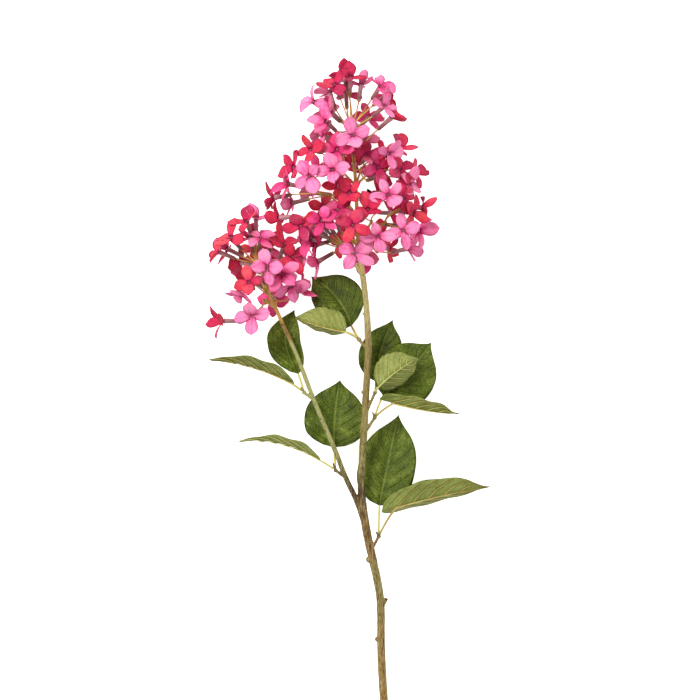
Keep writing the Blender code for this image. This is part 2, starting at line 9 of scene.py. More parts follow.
# %% Load the solid model
import math
import random
from functools import partialmethod
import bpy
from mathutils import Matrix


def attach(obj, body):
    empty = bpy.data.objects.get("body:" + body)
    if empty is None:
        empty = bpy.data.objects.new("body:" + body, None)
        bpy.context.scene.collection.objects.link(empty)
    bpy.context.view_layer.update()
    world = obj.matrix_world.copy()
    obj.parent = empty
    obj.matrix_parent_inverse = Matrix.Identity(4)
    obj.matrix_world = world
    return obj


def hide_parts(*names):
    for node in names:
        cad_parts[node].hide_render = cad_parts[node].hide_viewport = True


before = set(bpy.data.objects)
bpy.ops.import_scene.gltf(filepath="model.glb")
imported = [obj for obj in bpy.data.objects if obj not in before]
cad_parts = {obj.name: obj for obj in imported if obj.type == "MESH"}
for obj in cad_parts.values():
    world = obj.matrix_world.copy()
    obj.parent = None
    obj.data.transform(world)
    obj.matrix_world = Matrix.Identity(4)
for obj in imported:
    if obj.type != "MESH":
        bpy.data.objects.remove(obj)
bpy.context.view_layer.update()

from types import SimpleNamespace

import bpy
from mathutils import Vector, noise

MM = 0.001

# %% [markdown]
# Places are read from the front view, in millimetres across and down from its top left corner,
# with a height above the table. One millimetre of that view is one millimetre of the stem. A
# small function turns such a place into the frame's own coordinates, so that the numbers in the
# lists below can be checked by eye against the view.

# %% Places in the view
VIEW_SIZE = 700.0
VIEW_CENTRE = (350.0, 413.9)


def at(across, down, height):
    """A place of the front view as a point in metres."""
    return Vector((across - VIEW_CENTRE[0], VIEW_CENTRE[1] - down, height)) * MM


def catmull_rom(before, start, end, after, share):
    squared = share**2
    cubed = share**3
    return 0.5 * (
        2 * start
        + (end - before) * share
        + (2 * before - 5 * start + 4 * end - after) * squared
        + (3 * start - before - 3 * end + after) * cubed
    )


def swung(first, second, angle):
    """Two square directions, both turned by the angle from the first toward the second."""
    cosine, sine = math.cos(angle), math.sin(angle)
    return first * cosine + second * sine, second * cosine - first * sine


def bezier(start, control, end, share):
    return start * (1 - share) ** 2 + control * 2 * share * (1 - share) + end * share**2


def smooth_path(stops, spacing):
    """Points and radii in metres on a smooth curve through (across, down, height, radius)."""
    knots = [(at(*stop[:3]), stop[3] * MM) for stop in stops]
    knots = [knots[0], *knots, knots[-1]]
    points, radii = [], []
    for before, start, end, after in zip(knots, knots[1:], knots[2:], knots[3:]):
        count = max(1, round((end[0] - start[0]).length / (spacing * MM)))
        for step in range(count):
            share = step / count
            points.append(catmull_rom(before[0], start[0], end[0], after[0], share))
            radii.append(start[1] + (end[1] - start[1]) * share)
    points.append(knots[-1][0])
    radii.append(knots[-1][1])
    return points, radii


print("the view's middle lies at", [round(v, 4) for v in at(350, 350, 0)])

# %% [markdown]
# Petals, tubes and leaves are all grids of points that are bent into shape by formulas. One small
# class collects such grids into a single mesh. Each point can carry a few named numbers with it,
# such as how far along its petal it lies, and the materials read those numbers later. This is how
# all the petals can share one material and still each be dyed a little differently.

# %% A mesh that is collected from grids
def add_object(name, data):
    """A new object in the scene, from a mesh, a light or a camera."""
    made = bpy.data.objects.new(name, data)
    bpy.context.scene.collection.objects.link(made)
    return made


class Growth:
    """Points and faces of one mesh, with named numbers kept for each point."""

    def __init__(self, *marks):
        self.points, self.faces, self.finishes = [], [], []
        self.marks = {mark: [] for mark in marks}

    def add_points(self, points, **marks):
        """Keeps the points and returns the first one's number; a mark is a number or a list."""
        first = len(self.points)
        self.points.extend(points)
        for name, kept in self.marks.items():
            value = marks.get(name, 0.0)
            kept.extend(value if isinstance(value, list) else [value] * len(points))
        return first

    def add_faces(self, first, faces, finish):
        self.faces.extend(tuple(first + corner for corner in face) for face in faces)
        self.finishes.extend([finish] * len(faces))

    def sheet(self, shares, columns, spot, under=0, **marks):
        """A thin closed sheet; spot(share, crossing, side) gives a point of side 1 or -1.

        A crossing runs from -1 to 1. Both sides share their rim, so it is sharp.
        """
        rows = len(shares)
        crossings = [2 * column / (columns - 1) - 1 for column in range(columns)]
        cells = [(row, column) for row in range(rows) for column in range(columns)]
        inner = [(row, column) for row, column in cells
                 if 0 < row < rows - 1 and 0 < column < columns - 1]
        over = {cell: number for number, cell in enumerate(cells)}
        beneath = {**over, **{cell: len(cells) + number for number, cell in enumerate(inner)}}
        points = [spot(shares[row], crossings[column], 1) for row, column in cells]
        points += [spot(shares[row], crossings[column], -1) for row, column in inner]
        marks["along"] = [shares[row] for row, _ in cells + inner]
        marks["across"] = [crossings[column] for _, column in cells + inner]
        first = self.add_points(points, **marks)
        square = ((0, 0), (0, 1), (1, 1), (1, 0))
        for numbers, corners, finish in ((over, square, 0), (beneath, square[::-1], under)):
            faces = [[numbers[row + down, column + right] for down, right in corners]
                     for row, column in cells if row < rows - 1 and column < columns - 1]
            self.add_faces(first, faces, finish)

    def tube(self, points, radii, sides, finish=0, **marks):
        """A closed tube through the points, with a flat end at each end."""
        rings = []
        spoke = (points[1] - points[0]).normalized().orthogonal()
        for number, (place, radius) in enumerate(zip(points, radii)):
            ahead = points[min(number + 1, len(points) - 1)] - points[max(number - 1, 0)]
            ahead.normalize()
            spoke = (spoke - ahead * spoke.dot(ahead)).normalized()
            across = ahead.cross(spoke)
            for corner in range(sides):
                rings.append(place + swung(spoke, across, math.tau * corner / sides)[0] * radius)
        last = len(rings) - sides
        faces = [range(sides)[::-1], range(last, len(rings))]
        for ring in range(0, last, sides):
            for corner in range(sides):
                here, after = ring + corner, ring + (corner + 1) % sides
                faces.append((here, after, after + sides, here + sides))
        for name, value in marks.items():
            if isinstance(value, list):
                marks[name] = [number for number in value for _ in range(sides)]
        self.add_faces(self.add_points(rings, **marks), faces, finish)

    def taper(self, start, end, profile, sides, finish=0, **marks):
        """A straight tube; its profile lists shares of the way and radii in millimetres."""
        points = [start.lerp(end, share) for share, _ in profile]
        self.tube(points, [radius * MM for _, radius in profile], sides, finish, **marks)

    def piece(self, name, *materials):
        mesh = bpy.data.meshes.new(name)
        mesh.from_pydata(self.points, [], self.faces)
        for finish in materials:
            mesh.materials.append(finish)
        mesh.polygons.foreach_set("material_index", self.finishes)
        for mark, values in self.marks.items():
            layer = mesh.attributes.new(mark, "FLOAT", "POINT")
            layer.data.foreach_set("value", values)
        mesh.shade_smooth()
        mesh.update()
        print(name, "has", len(mesh.vertices), "points and", len(mesh.polygons), "faces")
        return add_object(name, mesh)


# %% [markdown]
# Shader maths reads best as ordinary expressions. This class wraps one output of a shader node;
# adding or multiplying wrapped outputs adds the Math nodes that do the sum.

# %% Shader maths as expressions
class Flow:
    """One output in a material's node tree."""

    def __init__(self, tree, socket):
        self.tree, self.socket = tree, socket

    def node(self, kind, settings, sockets, output=0):
        """A new node, with its settings set and its sockets set or linked."""
        made = self.tree.nodes.new("ShaderNode" + kind)
        for name, value in settings.items():
            setattr(made, name, value)
        for name, value in sockets.items():
            if isinstance(value, Flow):
                self.tree.links.new(value.socket, made.inputs[name])
            else:
                made.inputs[name].default_value = value
        return Flow(self.tree, made.outputs[output])

    def math(self, operation, *others):
        values = dict(enumerate((self, *others)))
        return self.node("Math", {"operation": operation}, values)

    __add__ = partialmethod(math, "ADD")
    __sub__ = partialmethod(math, "SUBTRACT")
    __mul__ = partialmethod(math, "MULTIPLY")
    __truediv__ = partialmethod(math, "DIVIDE")
    __pow__ = partialmethod(math, "POWER")

    def __rsub__(self, other):
        return self.node("Math", {"operation": "SUBTRACT"}, {0: other, 1: self})

    def step(self, low, high):
        """0 below low, 1 above high, and smooth between them."""
        sockets = {0: self, 1: low, 2: high}
        return self.node("MapRange", {"interpolation_type": "SMOOTHSTEP"}, sockets)

    def ramp(self, *stops):
        made = self.node("ValToRGB", {}, {"Fac": self})
        elements = made.socket.node.color_ramp.elements
        while len(elements) < len(stops):
            elements.new(1.0)
        for element, (place, colour) in zip(elements, stops):
            element.position = place
            element.color = paint(colour)
        return made

    def mix(self, first, second):
        """The first colour where this is 0 or less, and the second where it is 1 or more."""
        sockets = {0: self, 6: paint(first), 7: paint(second)}
        return self.node("Mix", {"data_type": "RGBA"}, sockets, 2)


def paint(colour):
    """A colour for a socket: a wrapped output as it is, or three numbers with full alpha."""
    return colour if isinstance(colour, Flow) else (*colour, 1.0)


class Finish:
    """A material whose nodes are added by name, and its main shader."""

    def __init__(self, name, roughness, specular=0.5):
        self.material = bpy.data.materials.new(name)
        self.material.use_nodes = True
        self.tree = self.material.node_tree
        self.shader = self.tree.nodes["Principled BSDF"]
        self.shader.inputs["Metallic"].default_value = 0.0
        self.shader.inputs["Roughness"].default_value = roughness
        self.shader.inputs["Specular IOR Level"].default_value = specular

    def node(self, kind, settings, sockets, output=0):
        return Flow(self.tree, None).node(kind, settings, sockets, output)

    def mark(self, name):
        """The number that the mesh keeps under this name at each point."""
        return self.node("Attribute", {"attribute_name": name}, {}, 2)

    def place(self):
        return self.node("TexCoord", {}, {}, 3)

    def place_along(self, axis):
        """How far along x (0), y (1) or z (2) a point lies, in metres."""
        return self.node("SeparateXYZ", {}, {"Vector": self.place()}, axis)

    def cloud(self, scale, detail=2, vector=None):
        """Soft noise from 0 to 1; scale is how many blotches fit in a metre."""
        sockets = {"Vector": vector or self.place(), "Scale": scale, "Detail": detail}
        return self.node("TexNoise", {}, sockets)

    def finished(self, colour, height=None, depth=0, strength=1):
        """The material with this colour and, where a height is given, raised by it."""
        self.tree.links.new(colour.socket, self.shader.inputs["Base Color"])
        if height:
            sockets = {"Height": height, "Distance": depth, "Strength": strength}
            normal = self.node("Bump", {}, sockets)
            self.tree.links.new(normal.socket, self.shader.inputs["Normal"])
        return self.material


print("shader helpers are ready")

# %% [markdown]
# ## The woody stem
# The real stem is moulded over a wire, with bark that is brown and streaked near the cut and
# olive-green toward the flowers. The main stem forks once, and short twigs carry the leaves in
# pairs. All of it is first laid out as overlapping tubes. A voxel remesh then melts them into one
# skin with soft crotches, as if they had been cast together, and small moves along the normals
# make the ridges of the bark.

# %% Where the stem runs
# Each stop is across, down, height and radius. A twig is its foot, its knot and its bud, if any.
MAIN_STEM = [
    (388, 768, 4.3, 4.3), (384.5, 710, 10.5, 4.2), (381.5, 655, 17, 4.1), (381, 612, 22, 4.1),
    (379, 590, 25, 4), (372.5, 559, 29, 4.3), (366.5, 531, 32, 4.4), (361.8, 497, 36, 4),
    (361.8, 470, 39, 3.6), (364.5, 420, 45, 3.7), (367.2, 372, 50.5, 3.5),
    (368.4, 345, 53.5, 3.4), (366.2, 305, 58, 2.9), (362.8, 276, 61, 3.1),
]
SIDE_BRANCH = [
    (364, 524, 33.5, 2.6), (356.5, 501, 36, 2.9), (345.5, 477.5, 38, 2.6), (334, 448, 40.5, 2.4),
    (315, 403, 44, 2.2), (296.5, 355, 46.5, 2.1), (283, 325, 48, 2),
]
LEAF_TWIGS = {
    "A": ((367.5, 350, 53), (359, 339.5, 56), None),
    "B": ((314, 400.5, 44), (304, 392.5, 45), (300.6, 386.4, 52)),
    "C": ((346, 478.5, 38), (335.5, 470.5, 38.5), (332.5, 462, 44.5)),
    "D": ((367, 411, 46), (375, 392.5, 50), None),
    "E": ((366, 431, 44), (374.8, 417.5, 50), (372.3, 411.5, 53.5)),
    "F": ((372, 550, 30), (378.8, 537, 33.5), (376, 531.6, 40.5)),
}
KNOT_RADIUS = 2.3
CUT_SHOOT = ((382, 609, 22.5), (386.8, 599.5, 25))
LEAF_SCARS = [
    (377.6, 641, 19.5, 2.7), (369, 560.5, 29.5, 3.4), (363.9, 314, 57.5, 1.5),
    (370.6, 344.5, 54, 1.9), (362.6, 392, 48.5, 1.8), (360.6, 432, 43.5, 1.6),
]
print(len(LEAF_TWIGS), "leaf twigs and", len(LEAF_SCARS), "leaf scars")

# %% Grow the stem
BARK_VOXEL = 0.55 * MM
STEM_SIDES = 16
# Shares of the length and radii: a leaf twig, the cut shoot, and a bud from its knot to its tip.
TWIG_PROFILE = [(0, 1.5), (1, 1.5)]
CUT_SHOOT_PROFILE = [(0, 2.1), (1, 1.785)]
BUD_PROFILE = [(0, 0.9), (0.3, 1.1), (0.55, 1.2), (0.8, 0.9), (1, 0.35)]


def bead(growth, place, radius):
    """A small round lump, as a short tube that swells in its middle."""
    steps = [math.pi * share / 6 for share in range(7)]
    points = [place + Vector((0, 0, -math.cos(angle) * radius)) for angle in steps]
    growth.tube(points, [max(0.1, math.sin(angle)) * radius for angle in steps], STEM_SIDES)


def stem_layout():
    growth = Growth()
    for stops in (MAIN_STEM, SIDE_BRANCH):
        growth.tube(*smooth_path(stops, 5.0), STEM_SIDES)
    for foot, knot, bud in LEAF_TWIGS.values():
        growth.taper(at(*foot), at(*knot), TWIG_PROFILE, STEM_SIDES)
        bead(growth, at(*knot), KNOT_RADIUS * MM)
        if bud:
            growth.taper(at(*knot), at(*bud), BUD_PROFILE, STEM_SIDES)
    growth.taper(*(at(*end) for end in CUT_SHOOT), CUT_SHOOT_PROFILE, STEM_SIDES)
    for *place, radius in LEAF_SCARS:
        bead(growth, at(*place), radius * MM)
    return growth.piece("stem_skin")


def melted(rough):
    """The overlapping tubes as one smooth skin."""
    remesh = rough.modifiers.new("melt", "REMESH")
    remesh.mode = "VOXEL"
    remesh.voxel_size = BARK_VOXEL
    relax = rough.modifiers.new("relax", "SMOOTH")
    relax.factor = 0.5
    relax.iterations = 3
    graph = bpy.context.evaluated_depsgraph_get()
    mesh = bpy.data.meshes.new_from_object(rough.evaluated_get(graph))
    bpy.data.objects.remove(rough)
    mesh.shade_smooth()
    return add_object("stem_skin", mesh)


def ridged(skin):
    """Raises the bark in long narrow ridges, deepest near the cut end."""
    low = at(*MAIN_STEM[0][:3]).y
    high = at(*MAIN_STEM[8][:3]).y
    normals = [vert.normal.copy() for vert in skin.data.vertices]
    for vert, normal in zip(skin.data.vertices, normals):
        woody = min(1.0, max(0.0, (high - vert.co.y) / (high - low) * 1.6))
        grain = noise.noise(Vector((vert.co.x * 520, vert.co.y * 60, vert.co.z * 520)))
        lumps = noise.noise(vert.co * 130)
        vert.co += normal * (grain * (0.1 + 0.16 * woody) + lumps * (0.1 + 0.08 * woody)) * MM


stem_skin = melted(stem_layout())
ridged(stem_skin)
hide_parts("stem")
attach(stem_skin, "root")
print("the stem's skin has", len(stem_skin.data.polygons), "faces")

# %% [markdown]
# The colour of the bark follows the height of the plant, which runs along Y: warm brown near the
# cut, then a greenish stretch, nearly black at the fork, tan above it and pale olive under the
# flowers. The side branch is greener and ends in a brown socket. The streaks are noise that is
# stretched along the stem.

# %% Paint the bark
# The wood is oldest this far below the middle of the frame, and young this much further up.
YOUNGER_FROM, YOUNGER_OVER = 0.352, 0.5


def bark_finish():
    bark = Finish("stem_bark", 0.62, specular=0.25)
    stretch = bark.node("Mapping", {}, {"Vector": bark.place(), "Scale": (1, 0.12, 1)})
    streaks = bark.cloud(1100, 2, stretch) * 0.6 + bark.cloud(380, 3, stretch) * 0.4
    speckle = bark.cloud(900, 3)
    blotches = (bark.cloud(45, 3) - 0.5) * 0.07
    age = (bark.place_along(1) + YOUNGER_FROM) / YOUNGER_OVER + blotches
    colour = age.ramp(
        (0, (0.31, 0.18, 0.045)), (0.27, (0.28, 0.185, 0.055)), (0.36, (0.24, 0.21, 0.065)),
        (0.42, (0.27, 0.17, 0.06)), (0.49, (0.2, 0.125, 0.04)), (0.55, (0.045, 0.028, 0.01)),
        (0.61, (0.24, 0.215, 0.062)), (0.72, (0.25, 0.195, 0.056)), (0.83, (0.27, 0.2, 0.068)),
        (0.9, (0.42, 0.355, 0.14)), (1, (0.45, 0.39, 0.155)),
    )
    aside = bark.place_along(0)
    young = (1 - aside.step(-0.004, 0.002)) * age.step(0.6, 0.66) * (1 - age.step(0.84, 0.92))
    colour = (young * 0.8).mix(colour, (0.37, 0.39, 0.145))
    socket = (1 - aside.step(-0.03, -0.02)) * age.step(0.845, 0.865)
    colour = (socket * 0.9).mix(colour, (0.28, 0.155, 0.035))
    rough = 1 - age.step(0.55, 0.85) * 0.5
    colour = (streaks.step(0.52, 0.64) * rough * 0.7).mix(colour, (0.47, 0.36, 0.17))
    dark = (1 - streaks.step(0.37, 0.5)).math("MAXIMUM", 1 - speckle.step(0.34, 0.42))
    colour = (dark * rough).mix(colour, (0.075, 0.038, 0.012))
    return bark.finished(colour, streaks, 0.0009, 0.8)


stem_skin.data.materials.clear()
stem_skin.data.materials.append(bark_finish())
print("bark painted")

# %% [markdown]
# ## The leaves
# Each leaf is printed cloth with its edge cut to a point, pressed over a moulded skeleton: a
# stalk that runs on as the midrib, with side ribs under the blade. The blade is a grid that
# follows the rib's curve. It is folded along the rib, waved at its edge, and puffed up between the
# side ribs, which curve toward the tip, as real lilac leaves are. One list places all twelve; each
# takes the twig that carries it, where the blade starts, the bow of its rib, its tip, its full
# width, its roll and fold in degrees, and how far along the blade the stalk joins the rib.

# %% Where the leaves are
LEAVES = {
    "leaf_01": ("A", (351.5, 326, 45), (10, -8, 2), (311, 276.5, 30), 50, 8, 7, 0),
    "leaf_02": ("A", (346, 332, 62), (2, 4, 4), (294.5, 317.5, 62), 40, 142, 36, 0),
    "leaf_03": ("B", (298, 374, 30), (-22, -6, 2), (294.5, 309.5, 20), 38, -14, 24, 0),
    "leaf_04": ("B", (294.5, 385, 43.5), (3, -9, 3), (208.5, 360, 45), 34, 106, 22, 0.06),
    "leaf_05": ("C", (334, 448, 26), (-4, 2, 3), (340, 380, 20), 61, -4, 5, 0),
    "leaf_06": ("C", (321, 461, 40), (2, -14, 2), (238, 442, 41), 32, 98, 24, 0),
    "leaf_07": ("D", (376, 382, 31), (-8, 2, 2), (393, 319.5, 24), 44, 10, 10, 0),
    "leaf_08": ("E", (383, 396, 43), (2, 5, 1), (431.5, 342.5, 37), 62, 8, 6, 0),
    "leaf_09": ("D", (378.5, 387, 61), (-2, -4, 5), (418.5, 358, 66), 40, 202, 24, 0),
    "leaf_10": ("E", (379, 399, 63), (3, 6, 4), (459, 414, 62), 30, 248, 26, 0.17),
    "leaf_11": ("F", (379.5, 506.5, 25), (-1, 2, 2), (399, 415, 15), 58, -8, 6, 0),
    "leaf_12": ("F", (381.5, 512.5, 44), (0, -5, 5), (491.5, 487, 42), 38, 222, 30, 0.13),
}
BLADE_THICKNESS = 0.7 * MM
WAVE_HEIGHT, WAVES = 0.9 * MM, 3
PUFF_HEIGHT, CROWN = 0.8 * MM, 0.1
SIDE_RIBS, RIB_SLANT, RIB_CURVE = 7, 0.3, 1.25
STALK_RADIUS, RIB_RADIUS, SIDE_RIB_RADIUS = 1.1 * MM, 0.8 * MM, 0.45 * MM
MIDRIB_STEPS, SIDE_RIB_STEPS = 12, 6
SEAT_GAP = 0.3 * MM
ROWS, COLUMNS = 44, 21
MIDRIB_SIDES, SIDE_RIB_SIDES = 10, 6
# A leaf's mesh holds three finishes: the upper face's is 0, and these two follow.
UNDER, SKELETON = 1, 2
# Shares of a leaf's length, and of its greatest half width there.
OUTLINE = [
    (0, 0), (0.03, 0.36), (0.1, 0.68), (0.2, 0.91), (0.35, 1), (0.5, 0.99), (0.6, 0.93),
    (0.7, 0.81), (0.8, 0.59), (0.88, 0.32), (0.94, 0.13), (1, 0),
]


def half_width(share):
    """A broad outline whose shoulders end in a drawn-out point, as a share of its widest."""
    before = max(n for n, row in enumerate(OUTLINE[:-1]) if row[0] <= share)
    stops = [OUTLINE[min(max(before + n, 0), len(OUTLINE) - 1)] for n in (-1, 0, 1, 2)]
    part = (share - stops[1][0]) / (stops[2][0] - stops[1][0])
    return max(0.0, catmull_rom(*(stop[1] for stop in stops), part))


def quilting(along, across):
    """Height of the blade between the side ribs, 0 on a rib and 1 between two."""
    phase = (along - RIB_SLANT * abs(across) ** RIB_CURVE) * SIDE_RIBS
    return abs(math.sin(math.pi * phase)) ** 0.6


print("half width at a third of a leaf:", round(half_width(0.33), 2))

# %% Grow a leaf
def leaf_layout(twig, start, bow, tip, width, roll, fold, join):
    """A leaf's places and width in metres, its fold, and its blade's side and face."""
    start, tip = at(*start), at(*tip)
    bow = Vector((bow[0], -bow[1], bow[2])) * MM
    along = (tip - start).normalized()
    face = (Vector((0, 0, 1)) - along * along.z).normalized()
    face, side = swung(face, along.cross(face), math.radians(roll))
    return SimpleNamespace(
        knot=at(*LEAF_TWIGS[twig][1]), rib=(start, (start + tip) / 2 + bow, tip), join=join,
        width=width * MM, fold=math.radians(fold), side=side, face=face,
    )


def blade_point(leaf, share, across, lift):
    """A point of the blade; across runs from -1 to 1 and lift is along the blade's face."""
    reach = half_width(min(max(share, 0.001), 0.999)) * leaf.width / 2 * across
    wave = WAVE_HEIGHT * math.sin(WAVES * math.tau * share) * across * abs(across)
    crown = CROWN * abs(reach) * (1 - abs(across))
    puff = PUFF_HEIGHT * quilting(share, across) * (1 - abs(across) ** 4) * min(1.0, 9 * share)
    rise = abs(reach) * math.sin(leaf.fold) + wave + crown + puff + lift
    return bezier(*leaf.rib, share) + leaf.side * reach * math.cos(leaf.fold) + leaf.face * rise


def bent_path(start, middle, end, count):
    """Points of a curve from start, through the middle, toward end, which it leaves out."""
    control = middle * 2 - (start + end) / 2
    return [bezier(start, control, end, step / count) for step in range(count)]


def add_midrib(growth, leaf, tone):
    """The moulded stalk, from just off its knot, which runs on as the midrib."""
    shares = [leaf.join + step * (0.97 - leaf.join) / MIDRIB_STEPS for step in range(MIDRIB_STEPS + 1)]
    ribs = [bezier(*leaf.rib, share) for share in shares]
    back = (ribs[0] - ribs[2]).normalized()
    away = (ribs[0] + back * 5 * MM - leaf.knot).normalized()
    foot = leaf.knot + away * (KNOT_RADIUS * MM + SEAT_GAP)
    path = bent_path(foot, foot.lerp(ribs[0], 0.55) + back * 1.2 * MM, ribs[0], 6)
    radii = [STALK_RADIUS] * len(path) + [RIB_RADIUS * (1 - 0.075 * n) for n in range(len(ribs))]
    path += [rib - leaf.face * 0.35 * MM for rib in ribs]
    growth.tube(path, radii, MIDRIB_SIDES, SKELETON, tone=tone)


def add_side_ribs(growth, leaf, tone):
    steps = range(SIDE_RIB_STEPS + 1)
    radii = [SIDE_RIB_RADIUS * (1 - 0.11 * step) for step in steps]
    for number in range(1, 6):
        for sign in (-1, 1):
            line = []
            for step in steps:
                across = sign * step / SIDE_RIB_STEPS * 0.9
                share = number / SIDE_RIBS + RIB_SLANT * abs(across) ** RIB_CURVE
                line.append(blade_point(leaf, share, across, -SIDE_RIB_RADIUS))
            growth.tube(line, radii, SIDE_RIB_SIDES, SKELETON, tone=tone)


def leaf_growth(numbers, tone):
    growth = Growth("along", "across", "tone")
    leaf = leaf_layout(*numbers)
    shares = [0.002 + 0.996 * (row / (ROWS - 1)) ** 1.15 for row in range(ROWS)]

    def spot(share, across, side):
        return blade_point(leaf, share, across, side * BLADE_THICKNESS / 2)

    growth.sheet(shares, COLUMNS, spot, UNDER, tone=tone)
    add_midrib(growth, leaf, tone)
    add_side_ribs(growth, leaf, tone)
    return growth


leaf_growths = {
    name: leaf_growth(row, (number * 0.37) % 1) for number, (name, row) in enumerate(LEAVES.items())
}
print("points of one leaf:", len(leaf_growths["leaf_01"].points))

# %% [markdown]
# The upper face is a deep, uneven green, with painted shade in the hollows along the ribs, paler
# lines over the ribs and dusty patches where the print thins out. The underside is a lighter
# yellow-green with the same painted shade, and the skeleton runs from a pale yellow-green to brown.
# The marks kept on the mesh say how far along and across the blade a point lies, so the veins need no
# picture.

# %% Paint the leaves
def vein_lines(finish, sharpness):
    """1 on the side ribs and the midrib, and 0 between them."""
    along = finish.mark("along")
    across = finish.mark("across").math("ABSOLUTE")
    phase = (along - across**RIB_CURVE * RIB_SLANT) * (SIDE_RIBS * math.pi)
    side = 1 - phase.math("SINE").math("ABSOLUTE").step(0, sharpness)
    middle = 1 - across.step(0, sharpness * 0.35)
    return side.math("MAXIMUM", middle)


def cloth_weave(finish, threads):
    """Fine crossed threads, as a height; threads is how many lie in a metre."""
    waves = []
    for direction in ("X", "Y"):
        settings = {"wave_type": "BANDS", "bands_direction": direction}
        sockets = {"Vector": finish.place(), "Scale": threads / 20, "Distortion": 0.6}
        waves.append(finish.node("TexWave", settings, sockets, 1))
    return waves[0] * waves[1]


def leaf_finish(name, deep, mid, pale, vein_colour, vein_share, roughness):
    cloth = Finish(name, roughness, specular=0.16)
    dust = cloth.cloud(70, 4)
    green = dust * 0.65 + cloth.cloud(500, 4) * 0.55 - 0.1 + (cloth.mark("tone") - 0.5) * 0.16
    colour = green.ramp((0.3, deep), (0.52, mid), (0.74, pale))
    # Painted shade: the grooves along the ribs are darkened toward the deepest green, and the same
    # mask sinks them in the bump.
    grooves_and_painted_shade = vein_lines(cloth, 0.75)
    colour = (grooves_and_painted_shade * 0.55).mix(colour, deep)
    veins = vein_lines(cloth, 0.17)
    colour = (veins * (dust.step(0.3, 0.6) * 0.6 + 0.4) * vein_share).mix(colour, vein_colour)
    cells = {"Vector": cloth.place(), "Scale": 420}
    net = 1 - cloth.node("TexVoronoi", {"feature": "DISTANCE_TO_EDGE"}, cells).step(0, 0.12)
    colour = (net * 0.16).mix(colour, vein_colour)
    height = grooves_and_painted_shade * -1 + net * -0.12 + cloth_weave(cloth, 2500) * 0.12
    return cloth.finished(colour, height, 0.0008, 0.8)


def skeleton_finish():
    moulded = Finish("leaf_skeleton", 0.45)
    tint = moulded.cloud(60) + (moulded.mark("tone") - 0.5) * 0.5
    colour = tint.ramp((0.2, (0.4, 0.27, 0.06)), (0.42, (0.5, 0.43, 0.1)),
                       (0.7, (0.56, 0.56, 0.16)))
    return moulded.finished(colour, moulded.cloud(900, 3), 0.0002, 0.4)


leaf_top = leaf_finish("leaf_top", (0.022, 0.036, 0.002), (0.076, 0.107, 0.006), (0.21, 0.27, 0.036),
                       (0.23, 0.3, 0.03), 0.6, 0.5)
leaf_under = leaf_finish("leaf_underside", (0.125, 0.165, 0.032), (0.235, 0.28, 0.068),
                         (0.34, 0.38, 0.12), (0.42, 0.29, 0.05), 0.75, 0.6)
leaf_skeleton = skeleton_finish()
for name, growth in leaf_growths.items():
    leaf = growth.piece(name.replace("leaf", "leaf_dressed"), leaf_top, leaf_under, leaf_skeleton)
    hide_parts(name)
    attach(leaf, "root")
print("painted", len(leaf_growths), "leaves")

# %% [markdown]
# ## The flower heads
# A lilac flower is a slender tube that opens into four petals. Here the petals are dyed cloth,
# the tubes are mauve moulded plastic, and each sits on a thin ochre stalk. The stalks part from
# hubs on short branchlets all round the rachis, the head's own stem. The flowers that the front
# view shows are given one by one in a list. The rest, at the back, follow the golden angle up the
# head, and skip the places that are taken. Two more short lists place the stalks that crowd
# between the flowers, and the small fork at the top of the stem.

# %% Where the flowers are
# Each rachis stop is across, down, height and radius, each whorl is down, reach, count of hubs
# and turn in degrees, and each profile stop is down and radius.
HEADS = {"main_flower_head": {
    "branch": MAIN_STEM,
    "rachis": [
        (360, 258, 62.5, 2.7), (357.5, 230, 64, 2.1), (356, 190, 65, 1.8), (353, 150, 65, 1.6),
        (351, 124, 64.5, 1.3),
    ],
    "whorls": [
        (248, 15, 5, 90), (222, 28, 6, 60), (196, 27, 5, 100), (168, 20, 5, 75), (146, 10, 4, 95),
        (128, 2, 1, 90),
    ],
    "profile": [
        (264, 24), (250, 52), (230, 68), (205, 68), (175, 60), (150, 52), (125, 44), (100, 40),
        (82, 26), (68, 6),
    ],
    "tries": 70,
    "clear_of": [(312, 276, 34), (300, 252, 50)],
}, "side_flower_head": {
    "branch": SIDE_BRANCH,
    "rachis": [
        (277, 311, 48.5, 1.7), (270, 297, 49, 1.5), (264, 281, 49, 1.3), (257, 262, 48.5, 1.1),
    ],
    "whorls": [(318, 5, 3, 200), (300, 9, 4, 30), (284, 9, 4, 70), (262, 3, 1, 90)],
    "profile": [(308, 32), (285, 49), (262, 52), (240, 36), (222, 14)],
    "tries": 22,
    "clear_of": [(314, 284, 32), (294, 312, 22), (312, 250, 60)],
}}
